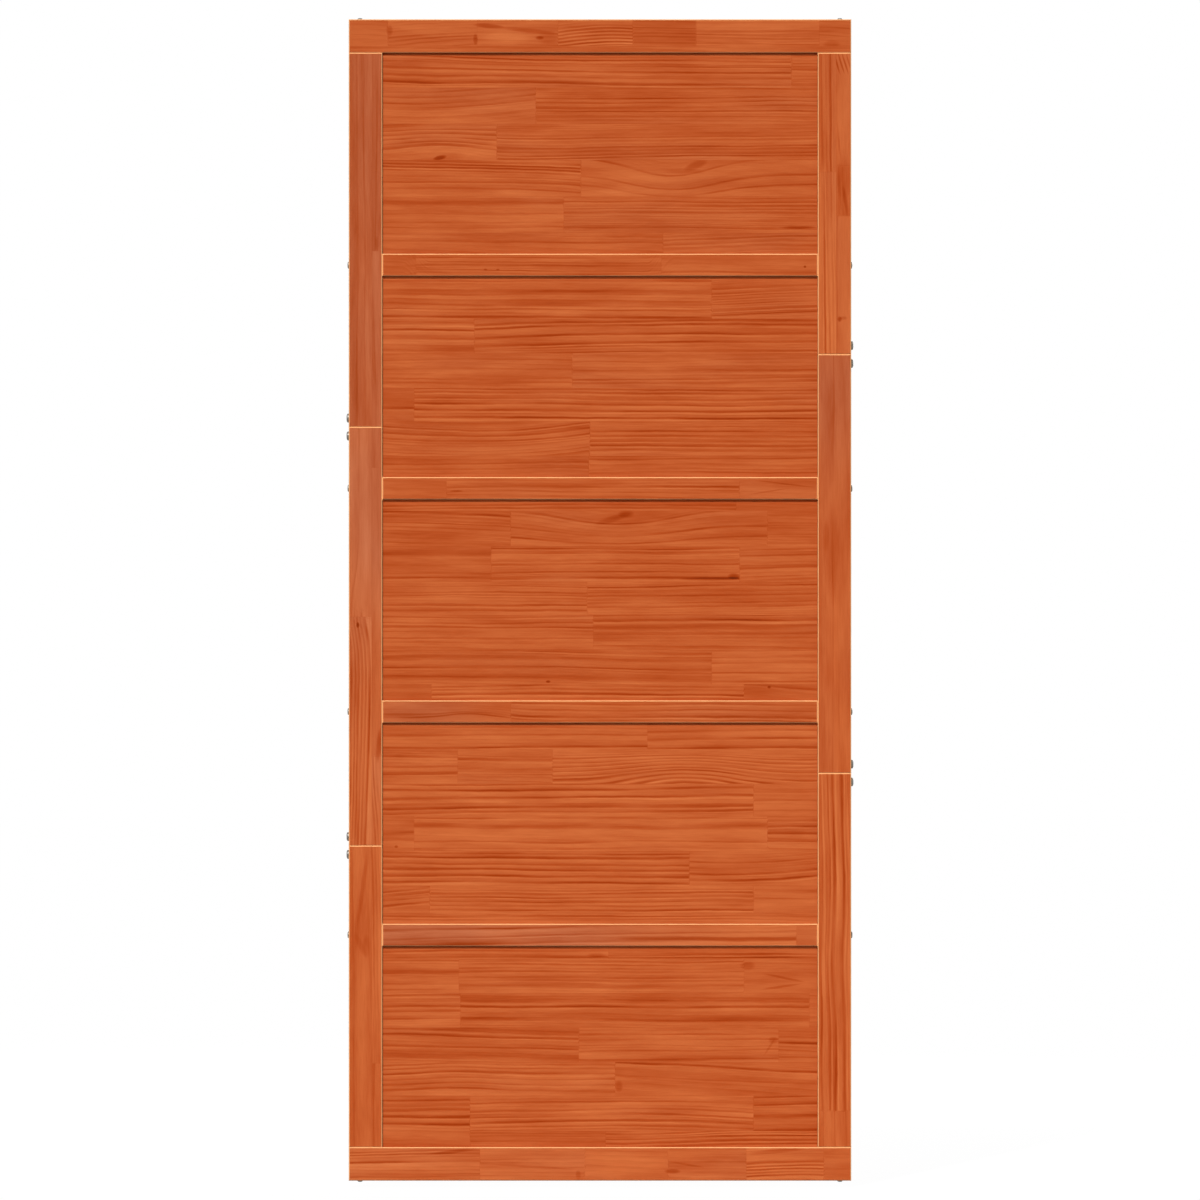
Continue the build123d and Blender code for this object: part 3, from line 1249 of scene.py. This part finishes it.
def fastener_places():
    """Where each bolt and screw goes, by kind: its place and which way its head looks."""
    left_joints = [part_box("left_stile_top")[0].z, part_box("left_stile_middle")[0].z]
    right_joints = [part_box("right_stile_middle")[1].z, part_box("right_stile_bottom")[1].z]
    rail_heights = [(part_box(rail)[0].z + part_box(rail)[1].z) / 2 for rail in mid_rails]
    places = {"stile_bolt": [], "rail_screw": [], "corner_screw": []}
    for edge, outwards, joints in ((door_low.x, -1, left_joints), (door_high.x, 1, right_joints)):
        for joint in joints:
            for step in (bolt_from_joint * mm, -bolt_from_joint * mm):
                places["stile_bolt"].append(((edge, middle_y, joint + step), (outwards, 0, 0)))
        for height in rail_heights:
            places["rail_screw"].append(((edge, middle_y, height), (outwards, 0, 0)))
        corner_x = edge - outwards * corner_inset * mm
        places["corner_screw"].append(((corner_x, middle_y, door_high.z), (0, 0, 1)))
        places["corner_screw"].append(((corner_x, middle_y, door_low.z), (0, 0, -1)))
    return places


zinc = make_zinc()
for kind, places in fastener_places().items():
    model = model_fastener(kind)
    model.data.materials.append(zinc)
    for number, (place, outwards) in enumerate(places, 1):
        place_fastener(model, kind + "_" + str(number), place, outwards, number * turn_step)
    bpy.data.objects.remove(model, do_unlink=True)


# Camera, light and floor

# The photograph's square frame is this wide where it meets the door's front.
photo_width = 2.149
lens = 300
sensor = 36

camera_data = bpy.data.cameras.new("camera")
camera_data.lens = lens
camera_data.sensor_width = sensor
camera = bpy.data.objects.new("camera", camera_data)
camera.location = (middle_x, door_low.y - photo_width * lens / sensor, middle_z)
camera.rotation_euler = (radians(90), 0, 0)
bpy.context.scene.collection.objects.link(camera)
bpy.context.scene.camera = camera


def add_lamp(name, kind, location, towards, strength, size):
    """A white lamp that shines from one place towards another. A sun's size is its angle."""
    lamp_data = bpy.data.lights.new(name, kind)
    lamp_data.energy = strength
    if kind == "SUN":
        lamp_data.angle = size
    else:
        lamp_data.shape = "RECTANGLE"
        lamp_data.size, lamp_data.size_y = size
    lamp = bpy.data.objects.new(name, lamp_data)
    lamp.location = location
    direction = Vector(towards) - Vector(location)
    lamp.rotation_euler = direction.to_track_quat("-Z", "Y").to_euler()
    bpy.context.scene.collection.objects.link(lamp)


door_middle = Vector((middle_x, middle_y, middle_z))
key_direction = Vector((-0.3, -1, 1.0))
key_strength = 3.23
key_angle = radians(1.5)
fill_direction = Vector((1.0, -0.45, 0.1))
fill_strength = 0.15
fill_angle = radians(8)
back_direction = Vector((1.5, 4, 1.5))
back_strength = 150
back_size = (3, 3)
ambient_light = 0.13

# The floor lies this many millimetres under the door. The camera sees it as white, but for a small share.
floor_gap = 12
floor_width = 60
floor_grey = (0.5, 0.5, 0.5, 1)
floor_white = 1.03
white_share = 0.95
white_rays = ("Is Camera Ray", "Is Glossy Ray", "Is Transmission Ray")

add_lamp("key_lamp", "SUN", door_middle + key_direction, door_middle, key_strength, key_angle)
add_lamp("fill_lamp", "SUN", door_middle + fill_direction, door_middle, fill_strength, fill_angle)
add_lamp("back_lamp", "AREA", door_middle + back_direction, door_middle, back_strength, back_size)


def seen_as_white(recipe):
    """1 where the camera looks, straight on, in a reflection or through glass, and 0 for light."""
    rays = recipe.add("ShaderNodeLightPath").outputs
    return recipe.chain("MAXIMUM", [rays[kind] for kind in white_rays])


def light_world():
    """White for the camera and in reflections, dimmer as a light."""
    world = bpy.data.worlds.new("studio")
    bpy.context.scene.world = world
    world.use_nodes = True
    world.node_tree.nodes.clear()
    recipe = Recipe(world.node_tree)
    strength = recipe.mix("FLOAT", seen_as_white(recipe), ambient_light, 1.0)
    background = recipe.add("ShaderNodeBackground", {"Color": (1, 1, 1, 1), "Strength": strength})
    output = recipe.add("ShaderNodeOutputWorld")
    recipe.fill(output.inputs["Surface"], background.outputs["Background"])


def add_floor():
    """A wide pale floor, white to the camera but for a trace of the door's shadow."""
    bpy.ops.object.select_all(action="DESELECT")
    place = (middle_x, middle_y, door_low.z - floor_gap * mm)
    bpy.ops.mesh.primitive_plane_add(size=floor_width, location=place)
    floor = bpy.context.object
    floor.name = "floor"
    material, recipe, output = new_material("pale_floor")
    matt = recipe.add("ShaderNodeBsdfDiffuse", {"Color": floor_grey})
    white = recipe.add("ShaderNodeEmission", {"Strength": floor_white})
    share = recipe.product(seen_as_white(recipe), white_share)
    both = recipe.add("ShaderNodeMixShader", (share, matt.outputs["BSDF"], white.outputs["Emission"]))
    recipe.fill(output.inputs["Surface"], both.outputs["Shader"])
    floor.data.materials.append(material)


light_world()
add_floor()

bpy.context.scene.view_settings.view_transform = "Standard"
